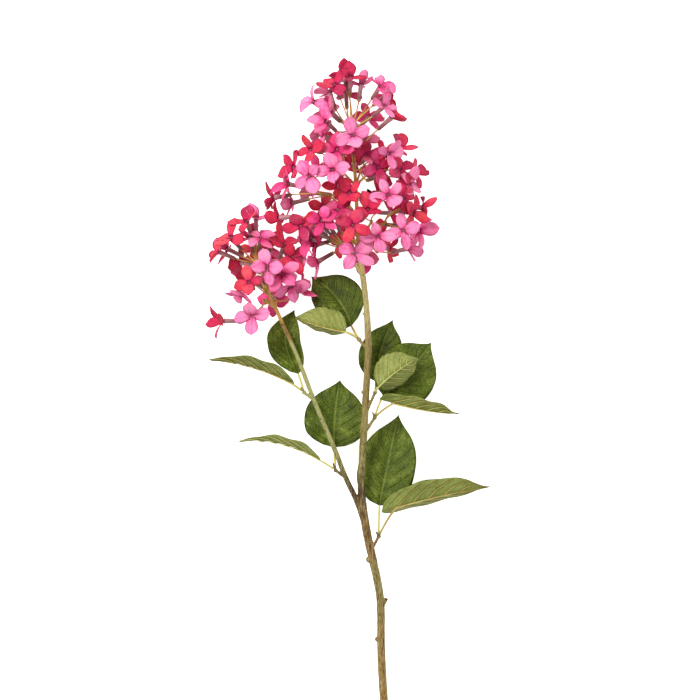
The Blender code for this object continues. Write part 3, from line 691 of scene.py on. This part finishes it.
# Across, down, height over the rachis, how far the flower faces to the right and up in
# hundredths, the turn of its petals in degrees, and its dye.
FRONT_FLORETS = {"main_flower_head": [
    (350, 79, 6, 0, 85, 0, "red"), (344, 78, -8, -25, 85, 30, "wine"),
    (335, 86, 12, -30, 75, 20, "red"), (361, 86, -2, 12, 88, 5, "pale"),
    (380, 88, 14, 45, 65, 35, "pink"), (385, 97, -8, 65, 50, 10, "red"),
    (391, 119, 6, 72, 60, 30, "red"), (384, 108, 20, 62, 50, 60, "pale"),
    (314, 103, 8, -75, 45, 10, "pale"), (330, 94, -2, -30, 85, 50, "pale"),
    (346, 94, -20, -5, 80, 20, "rose"), (331, 113, 14, -55, 50, 5, "pink"),
    (353, 138, 42, 5, 5, 60, "pale"), (327, 124, 26, -50, 45, 30, "pink"),
    (324, 137, 10, -70, 25, 70, "pink"), (311, 151, 24, -55, 15, 25, "coral"),
    (294, 168, 6, -85, 10, 45, "red"), (333, 172, 46, -5, 5, 45, "pale"),
    (310, 178, 40, -20, 5, 50, "pale"), (289, 185, 10, -80, 15, 35, "rose"),
    (389, 155, 32, 60, -5, 5, "pale"), (400, 149, 2, 55, 65, 25, "red"),
    (366, 157, 22, 20, 35, 20, "wine"), (415, 173, 2, 85, 25, 15, "red"),
    (399, 170, 20, 45, 5, 30, "red"), (378, 169, 24, 30, -20, 60, "wine"),
    (350, 194, 40, -5, 35, 28, "red"), (388, 197, 46, 20, 5, 10, "pale"),
    (408, 185, 10, 65, 35, 50, "pale"), (403, 199, 28, 55, 10, 5, "red"),
    (421, 208, -1, 92, 0, 35, "coral"), (412, 214, 20, 70, -10, 70, "coral"),
    (368, 211, 42, 20, 35, 65, "red"), (353, 227, 58, 0, 0, 65, "coral"),
    (378, 238, 52, 10, -5, 40, "pale"), (403, 232, 42, 20, 0, 10, "pale"),
    (418, 231, 8, 85, -10, 20, "pink"), (407, 249, 2, 85, 20, 55, "pale"),
    (355, 255, 50, 5, -5, 0, "pale"), (338, 211, 32, -35, 50, 15, "rose"),
    (322, 222, 38, -20, 30, 40, "rose"), (301, 227, 34, -30, 5, 30, "red"),
    (280, 218, -1, -88, -5, 5, "coral"), (275, 198, -6, -90, -15, 60, "red"),
    (309, 239, 19, -65, 0, 10, "pink"), (316, 246, 16, -80, -25, 35, "wine"),
    (319, 261, -16, -80, -45, 20, "pink"), (337, 151, 28, -35, 20, 25, "rose"),
    (293, 203, -10, -90, -20, 0, "pale"),
], "side_flower_head": [
    (256, 219, 2, 0, 90, 20, "pale"), (247, 222, 12, -25, 80, 60, "red"),
    (231, 238, 12, -55, 60, 30, "coral"), (228, 249, -10, -80, 40, 0, "pink"),
    (219, 252, 4, -85, 35, 40, "coral"), (260.5, 238, 14, 5, 80, 40, "pink"),
    (250, 238, -8, -20, 90, 45, "rose"), (241, 262, -12, -70, 20, 70, "wine"),
    (268, 268, 42, 0, 5, 5, "pink"), (282, 275, 30, 30, 0, 50, "pink"),
    (250, 283, 34, -25, 10, 30, "coral"), (241, 293, 8, -60, -55, 15, "pink"),
    (252, 316, 30, -10, -5, 65, "pale"), (224, 321, 4, -93, 0, 100, "red"),
    (293, 257, 7, 25, 10, 20, "coral"), (290, 261, -10, 50, 30, 30, "pale"),
    (291, 286, 14, 50, -35, 45, "pale"), (300.5, 290, 0, 66, 50, 0, "rose"),
    (284, 245, 0.5, 25, 72, 52, "red"), (270, 247, -10, 15, 80, 60, "pink"),
]}
FLORET_SPACING, LOWEST_FLORET = 24, 3
FLORET_SEED = 11
GOLDEN_ANGLE = math.radians(137.508)
# The flowers at the back face down the stem at the head's foot, and up it at the top.
BOTTOM_NOD, TOP_NOD = 0.35, 1.3
# The rule fills only what lies behind this share of the head's depth, and less broadly.
FRONT_LIMIT, RULE_NARROWING = -0.15, 0.75
HEAD_GAP, SHORTEST_STALK = 0.4, 21
# Where each dye lies between the palest pink and coral.
DYES = {"pale": 0.0, "pink": 0.22, "rose": 0.42, "wine": 0.6, "red": 0.75, "coral": 0.9}
DYES_BEHIND = ("pale", "pale", "pink", "rose", "red", "red", "coral")
# Crowded stalks that show between the flowers: where they part and where each goes.
TUFTS = {
    "main_flower_head": ((348, 251, 71), [
        (313, 232, 90), (317, 229, 93), (322, 227, 92), (327, 225, 94),
        (331, 229, 88), (312, 240, 84), (321, 235, 86), (336, 224, 90),
    ]),
    "side_flower_head": ((270, 297, 50), [(258, 283, 62), (262, 277, 66), (248, 279, 58)]),
}
# Where the top of the stem splits: across, down, height and radius along the smaller fork.
STEM_FORK = [(364.5, 284, 60.5, 2), (360, 272, 63, 1.9), (353, 262, 66.5, 1.7), (348, 251, 71, 1.3)]


def rachis_of(head):
    """The rachis's stops, from a hair beyond the end of the branch that carries it."""
    before, end = (Vector(stop[:3]) for stop in head["branch"][-2:])
    foot = end + (end - before).normalized() * HEAD_GAP
    return [(*foot, head["branch"][-1][3]), *head["rachis"]]


def blended(stops, down, key):
    """The numbers of a list at this height of the view; each stop's own height stands at key."""
    for first, last in zip(stops, stops[1:]):
        if last[key] <= down <= first[key]:
            share = (first[key] - down) / (first[key] - last[key])
            return [a + (b - a) * share for a, b in zip(first, last)]
    return stops[0] if down > stops[0][key] else stops[-1]


def rachis_point(rachis, down):
    across, _, height, _ = blended(rachis, down, 1)
    return at(across, down, height)


def hubs_of(head):
    """The places round the rachis where stalks part: (foot on the rachis, hub) pairs."""
    rachis = rachis_of(head)
    pairs = []
    for down, reach, count, turn in head["whorls"]:
        foot = rachis_point(rachis, down + reach * 0.9)
        for number in range(count):
            angle = math.radians(turn + number * 360.0 / count)
            out = Vector((math.cos(angle), 0, math.sin(angle))) * reach * MM
            pairs.append((foot, rachis_point(rachis, down) + out))
    return pairs


def florets_of(name):
    """(place, facing, petal turn, size, dye) of each floret: those in front, then the rest."""
    head = HEADS[name]
    rachis = rachis_of(head)
    draw = random.Random(FLORET_SEED)
    dyes = random.Random(FLORET_SEED)
    found = []
    for across, down, lift, right, up, turn, dye in FRONT_FLORETS[name]:
        right, up = right / 100, up / 100
        ahead = math.copysign(math.sqrt(max(0.0, 1 - right**2 - up**2)), lift)
        place = at(across, down, rachis_point(rachis, down).z / MM + lift)
        facing = Vector((right, up, ahead)).normalized()
        found.append((place, facing, turn, draw.uniform(0.94, 1.08), dye))
    bottom, top = head["profile"][0][0], head["profile"][-1][0]
    for number in range(head["tries"]):
        share = (number + 0.5) / head["tries"]
        down = bottom + (top - bottom) * share
        angle = number * GOLDEN_ANGLE
        reach = blended(head["profile"], down, 0)[1] * draw.uniform(0.86, 1.04)
        out = Vector((math.cos(angle), 0, math.sin(angle)))
        place = rachis_point(rachis, down) + Vector((out.x * RULE_NARROWING, 0, out.z)) * reach * MM
        place.z = max(place.z, LOWEST_FLORET * MM)
        turn, size = draw.uniform(0, 90), draw.uniform(0.92, 1.05)
        if out.z > FRONT_LIMIT:
            continue
        taken = [other[0] for other in found] + [at(*spot) for spot in head["clear_of"]]
        if min((place - other).length for other in taken) < FLORET_SPACING * MM:
            continue
        facing = (out + Vector((0, TOP_NOD * share - BOTTOM_NOD, 0))).normalized()
        found.append((place, facing, turn, size, dyes.choice(DYES_BEHIND)))
    return found


def nearest_hub(hubs, tube_foot, place):
    """The hub that this floret's stalk comes from: the closest one a little way behind it."""
    behind = [hub for _, hub in hubs if (place - hub).length > SHORTEST_STALK * MM]
    return min(behind, key=lambda hub: (hub - tube_foot).length)


for name in HEADS:
    print(name, "has", len(florets_of(name)), "florets")

# %% Grow a floret
PETAL_LENGTH, PETAL_WIDTH, PETAL_THICKNESS = 19, 17, 0.5
THROAT_RADIUS, TUBE_LENGTH, STALK_STARTS = 1.9, 18.5, 19
PEDICEL_RADIUS, HUB_RADIUS = 0.7, 1.6
# Radians by which a petal may rise from the floret's plane; none rises far at the head's top.
PETAL_LEANS = (-0.2, -0.05, 0.08, 0.2, 0.4, 0.75)
PETAL_ROWS, PETAL_COLUMNS = 9, 7
HEAD_TOP = 125.0 * MM
LARGEST_LEAN, LEAN_AT_TOP = 0.85, 0.1
# How far the flowers that face aside are closed, and how much narrower their petals are.
HALF_CLOSED, SLIMMER = 0.38, 0.18
DYE_SPREAD = 0.09
# Shares of the length and radii: a tube from its mouth to its foot, the dark plug in its mouth,
# a branchlet from the rachis to its hub, and a crowded stalk and the tube on its last third.
TUBE_PROFILE = [(0, 3), (0.1, 2.5), (0.35, 2.3), (0.7, 2.1), (0.92, 2), (0.99, 1.8), (1, 1.2)]
THROAT_PROFILE = [(0, THROAT_RADIUS), (1, THROAT_RADIUS * 0.55)]
BRANCHLET_PROFILE = [(0, 1.5), (0.33, 1.2), (0.67, 1.1), (1, 1.1)]
TUFT_STALK = [(step / 6, PEDICEL_RADIUS) for step in range(5)]
TUFT_TUBE = [(4 / 6, 1.4), (5 / 6, 1.9), (1, 2.1)]
LOWEST_TUBE_FOOT = 3.5
# The finishes of a head's stalks, in the order in which their mesh holds them.
TUBE, STALK, THROAT = 0, 1, 2
TUBE_SIDES, PEDICEL_SIDES, BRANCHLET_SIDES = 10, 7, 8


def petal_half_width(share, bluntness):
    """Broad from the throat on, where the petals meet, and then blunt or rather pointed."""
    claw = 0.5 + 0.5 * math.sin(math.pi / 2 * min(1.0, share / 0.66)) ** 1.2
    end = math.sqrt(max(0.0, 1 - (max(0.0, share - 0.45) / 0.555) ** bluntness))
    return claw * end


def bent_clear(spot, facing, out):
    """The spot itself, or, where it is under the table, brought up and as far forward."""
    low = PETAL_THICKNESS / 2 * MM
    if spot.z >= low:
        return spot
    forward = (facing + out * 0.3) * Vector((1, 1, 0))
    if forward.length > 0.001:
        forward.normalize()
    spot = spot + forward * (low - spot.z) * 0.8
    spot.z = low
    return spot


def petal_form(draw):
    """What chance gives one petal: heights in millimetres, angles in radians, and shares."""
    return SimpleNamespace(
        cup=draw.uniform(-0.8, 1.8), curl=draw.uniform(-3.4, 1.6), lean=draw.choice(PETAL_LEANS),
        twist=draw.uniform(-0.4, 0.4), crease=draw.uniform(-1.2, 2.6), ridge=draw.uniform(-0.6, 0.6),
        long=draw.uniform(0.86, 1.08), wide=draw.uniform(0.6, 0.98), sway=draw.uniform(-0.2, 0.2),
        bend=draw.uniform(-2.6, 2.6), ripple=draw.uniform(0, math.tau),
        bluntness=draw.uniform(1.3, 3),
    )


def petal_spot(form, share, across):
    """How far out, how far aside and how high a point of the petal lies, in millimetres."""
    root = THROAT_RADIUS * 0.6
    width = petal_half_width(share, form.bluntness) * PETAL_WIDTH / 2 * form.wide * across
    reach = root + (PETAL_LENGTH - root) * share * form.long - share**3 * across**2
    rise = form.cup * math.sin(math.pi * share) + form.curl * share**3
    rise += form.crease * share * abs(across - form.ridge) ** 1.6 + form.twist * width * share
    rise += 0.4 * share * abs(across) * math.sin(form.ripple + 7 * share + 2 * across)
    return reach, width + form.bend * share**2, rise


def add_petal(growth, place, facing, out, side, size, dye, opening, draw):
    """One spoon-shaped cloth petal, leant, swayed, folded and rippled a little by chance."""
    form = petal_form(draw)
    form.wide *= 1 - SLIMMER + SLIMMER * abs(facing.z)
    out, side = swung(out, side, form.sway)
    headroom = max(0.0, HEAD_TOP - place.z) / (PETAL_LENGTH * MM)
    lean = min(form.lean + opening, LEAN_AT_TOP + headroom, LARGEST_LEAN)
    out, facing = swung(out, facing, lean)
    shares = [math.sin(math.pi / 2 * row / (PETAL_ROWS - 1)) ** 1.1 for row in range(PETAL_ROWS)]

    def spot(share, across, face):
        reach, aside, rise = petal_spot(form, share, across)
        rise += face * PETAL_THICKNESS / 2
        point = place + (out * reach + side * aside + facing * rise) * size * MM
        return bent_clear(point, facing, out)

    growth.sheet(shares, PETAL_COLUMNS, spot, dye=dye, tone=draw.random())


def grow_floret(petals, stalks, floret, hub, draw):
    place, facing, turn, size, dye = floret
    right, up, _ = facing.to_track_quat("Z", "Y").to_matrix().col
    opening = HALF_CLOSED * (1 - abs(facing.z))
    for number in range(4):
        out, side = swung(right, up, math.radians(turn + 90 + number * 90))
        shade = DYES[dye] + draw.gauss(0, DYE_SPREAD)
        add_petal(petals, place, facing, out, -side, size, shade, opening, draw)
    foot = place - facing * TUBE_LENGTH * MM
    foot.z = max(foot.z, LOWEST_TUBE_FOOT * MM)
    stalks.taper(place - facing * 0.2 * MM, foot, TUBE_PROFILE, TUBE_SIDES, TUBE,
                 along=[1 - share for share, _ in TUBE_PROFILE], tone=draw.random())
    bow = (foot - place).normalized() * (foot - hub).length * 0.25
    stalk = [*bent_path(hub, hub.lerp(foot, 0.55) + bow, foot, 8), foot]
    stalks.tube(stalk, [PEDICEL_RADIUS * MM] * len(stalk), PEDICEL_SIDES, STALK, tone=draw.random())
    below, above = place - facing * 0.4 * MM, place + facing * 0.35 * MM
    stalks.taper(below, above, THROAT_PROFILE, TUBE_SIDES, THROAT)


def head_pieces(name):
    head = HEADS[name]
    hubs = hubs_of(head)
    petals = Growth("along", "across", "dye", "tone")
    stalks = Growth("along", "tone")
    draw = random.Random(len(name))
    used = set()
    for floret in florets_of(name):
        place, facing = floret[:2]
        hub = nearest_hub(hubs, place - facing * STALK_STARTS * MM, place)
        grow_floret(petals, stalks, floret, hub, draw)
        used.add(tuple(hub))
    stalks.tube(*smooth_path(rachis_of(head), 6.0), 12, STALK, tone=0.4)
    start, ends = TUFTS[name]
    for end in ends:
        stalks.taper(at(*start), at(*end), TUFT_STALK, PEDICEL_SIDES, STALK, tone=draw.random())
        stalks.taper(at(*start), at(*end), TUFT_TUBE, BRANCHLET_SIDES, TUBE,
                     along=[0.1, 0.4, 0.6], tone=draw.random())
    for foot, hub in hubs:
        if tuple(hub) in used:
            stalks.taper(foot, hub, BRANCHLET_PROFILE, BRANCHLET_SIDES, STALK, tone=0.5)
            bead(stalks, hub, HUB_RADIUS * MM)
    return petals, stalks


head_growths = {name: head_pieces(name) for name in HEADS}
head_growths["main_flower_head"][1].tube(*smooth_path(STEM_FORK, 4.0), 10, STALK, tone=0.6)
print("points of the main head's petals:", len(head_growths["main_flower_head"][0].points))

# %% [markdown]
# The petals were dipped in dyes that run from a pale cool pink through magenta and wine to
# crimson and coral. A mark on the mesh says where each petal lies in that range, and noise lets
# the dye wander within the petal. Pink petals have painted shade toward the throat and a painted
# highlight further out. Fine lines run out from the throat, pressed into the cloth by the mould.

# %% Paint the petals
def petal_finish():
    cloth = Finish("petal_cloth", 0.72, specular=0.2)
    along, across, dye, tone = map(cloth.mark, ("along", "across", "dye", "tone"))
    dip = cloth.cloud(60)
    mottle = cloth.cloud(260, 3)
    bath = dye + (dip - 0.5) * 0.6 + (mottle - 0.5) * 0.4 + (0.45 - along) * 0.14
    colour = bath.ramp(
        (0.06, (0.93, 0.25, 0.48)), (0.2, (0.89, 0.15, 0.37)), (0.34, (0.78, 0.06, 0.21)),
        (0.48, (0.6, 0.04, 0.16)), (0.6, (0.4, 0.014, 0.06)), (0.76, (0.56, 0.018, 0.055)),
        (0.9, (0.68, 0.034, 0.06)), (1.0, (0.74, 0.07, 0.065)),
    )
    streak = (across * 9 + cloth.cloud(160) * 5).math("SINE") * 0.5 + 0.5
    # Painted shade: the inner half of each petal is darkened toward the throat, mixed with streaks and
    # blotches of dye.
    shade = (1 - along).step(0.5, 1) * 0.55 + streak * 0.3 - 0.1
    shade += (mottle - 0.5) * 0.7 + (dip - 0.5) * 0.6
    colour = shade.mix(colour, (0.52, 0.012, 0.13))
    # Painted highlight: the outer parts of the pinker petals are lightened where the noise is high.
    cool = 1 - bath.step(0.45, 0.65) * 0.75
    lit = (mottle * 0.5 + tone * 0.5).step(0.45, 0.85) * along.step(0.2, 0.6) * cool * 0.4
    colour = lit.mix(colour, (0.99, 0.4, 0.55))
    lines = (across * 26 + cloth.cloud(300) * 2).math("SINE") * 0.5 + 0.5
    colour = (lines * 0.2).mix(colour, (0.42, 0.01, 0.09))
    height = lines * 0.6 + cloth_weave(cloth, 4500) * 0.4 + mottle
    return cloth.finished(colour, height, 0.0002, 0.6)


def tube_finish():
    mauve = Finish("floret_tubes", 0.5)
    along = mauve.mark("along")
    streaks = mauve.cloud(700, 3)
    shade = along * 0.5 + streaks * 0.6 + (mauve.mark("tone") - 0.5) * 0.3
    colour = shade.ramp((0.15, (0.13, 0.05, 0.03)), (0.42, (0.2, 0.075, 0.08)),
                        (0.7, (0.38, 0.18, 0.18)), (0.95, (0.55, 0.2, 0.28)))
    colour = (1 - along.step(0.03, 0.09)).mix(colour, (0.38, 0.22, 0.05))
    return mauve.finished(colour, streaks, 0.0003, 0.5)


def stalk_finish():
    ochre = Finish("floret_stalks", 0.5)
    tint = ochre.cloud(90, 3) + (ochre.mark("tone") - 0.5) * 0.4
    colour = tint.ramp((0.25, (0.3, 0.13, 0.02)), (0.5, (0.5, 0.29, 0.04)),
                       (0.8, (0.62, 0.46, 0.12)))
    low = (1 - ochre.place_along(1).step(0.152, 0.166)) * ochre.place_along(0).step(-0.014, -0.008)
    colour = (low * 0.85).mix(colour, (0.43, 0.36, 0.13))
    return ochre.finished(colour, tint, 0.0003, 0.3)


def throat_finish():
    dark = Finish("floret_throats", 0.6)
    return dark.finished(dark.cloud(900).ramp((0.3, (0.07, 0.015, 0.02)), (0.7, (0.28, 0.09, 0.06))))


petal_cloth = petal_finish()
stalk_finishes = (tube_finish(), stalk_finish(), throat_finish())
for name, (petals, stalks) in head_growths.items():
    made = [petals.piece(f"{name}_petals", petal_cloth)]
    made.append(stalks.piece(f"{name}_stalks", *stalk_finishes))
    for piece in made:
        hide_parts(name)
        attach(piece, "root")
print("flower heads dressed")

# %% [markdown]
# ## Table, light and camera
# The stem lies on a plain white table under large soft lights, and the camera looks straight
# down from far away through a long lens, so that tall parts don't lean outward.

# %% Table, lights and camera
TABLE_SIZE, MIDDLE_OF_DEPTH = 60, 0.05


def table():
    bpy.ops.mesh.primitive_plane_add(size=TABLE_SIZE)
    top = bpy.context.object
    top.name = "table"
    white = Finish("white_table", 0.9)
    white.shader.inputs["Base Color"].default_value = paint((0.92, 0.92, 0.92))
    white.shader.inputs["Emission Color"].default_value = paint((1, 1, 1))
    white.shader.inputs["Emission Strength"].default_value = 0.75
    top.data.materials.append(white.material)


def soft_light(name, place, width, watts):
    """A round soft light that looks at the middle of the frame."""
    light = bpy.data.lights.new(name, "AREA")
    light.shape = "DISK"
    light.size = width
    light.energy = watts
    made = add_object(name, light)
    made.location = place
    made.rotation_euler = (-Vector(place)).to_track_quat("-Z", "Y").to_euler()


def sky(strength):
    world = bpy.data.worlds.new("studio")
    world.use_nodes = True
    background = world.node_tree.nodes["Background"]
    background.inputs["Color"].default_value = paint((1, 1, 1))
    background.inputs["Strength"].default_value = strength
    bpy.context.scene.world = world


def long_lens(height):
    """Looks straight down and frames the view at the middle of the stem's depth."""
    camera = bpy.data.cameras.new("camera")
    camera.sensor_width = 36.0
    camera.lens = camera.sensor_width * (height - MIDDLE_OF_DEPTH) / (VIEW_SIZE * MM)
    camera.clip_end = 50.0
    made = add_object("camera", camera)
    made.location = at(VIEW_SIZE / 2, VIEW_SIZE / 2, 0) + Vector((0, 0, height))
    bpy.context.scene.camera = made


table()
soft_light("key_light", (-0.9, 1, 1.8), width=1, watts=46)
soft_light("fill_light", (1.2, -0.6, 1.6), width=1.4, watts=12)
sky(strength=0.42)
long_lens(height=5)
bpy.context.scene.view_settings.view_transform = "Standard"
print("camera is", round(bpy.context.scene.camera.location.z, 2), "m up")
